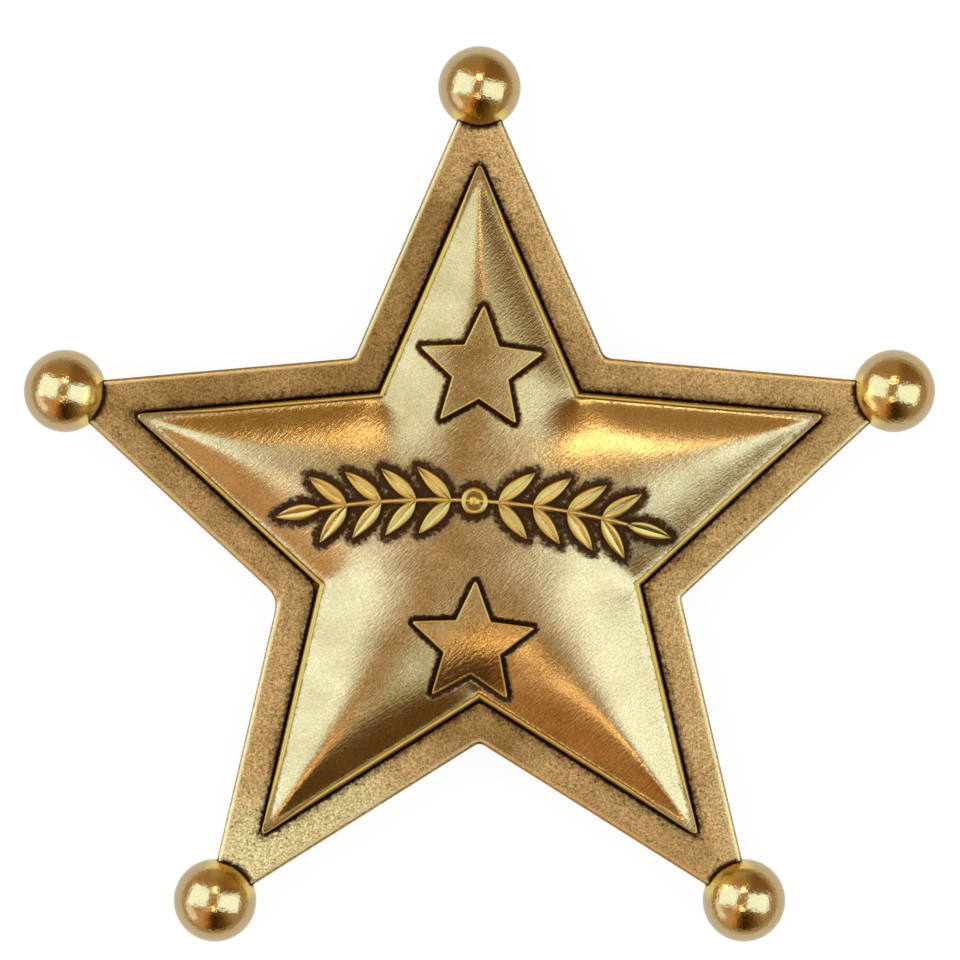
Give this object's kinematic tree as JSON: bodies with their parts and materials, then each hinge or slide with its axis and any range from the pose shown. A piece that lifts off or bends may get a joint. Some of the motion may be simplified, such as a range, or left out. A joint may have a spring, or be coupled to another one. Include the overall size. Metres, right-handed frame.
{
  "type": "sheriff star badge",
  "caption": "Five-pointed star badge with a domed inner star, a ball on each point and a pin on the back.",
  "frame": {"origin": "on the surface that the badge lies on, under the middle of its outline", "axes": "+Z out of the badge's face, +Y towards its top point, +X to the viewer's right"},
  "size_m": [0.0752, 0.0738, 0.0076],
  "materials": {
    "border_brass": "antiqued, fine sand-cast grain",
    "dome_brass": "antiqued, brushed satin",
    "ball_brass": "polished, antiqued in the seams",
    "pin_brass": "plain satin"
  },
  "bodies": {
    "root": {"star_plate": "border_brass", "domed_star": "dome_brass", "ball_top": "ball_brass", "ball_left": "ball_brass", "ball_right": "ball_brass", "ball_lower_left": "ball_brass", "ball_lower_right": "ball_brass", "pin_back": "pin_brass"}
  },
  "joints": []
}
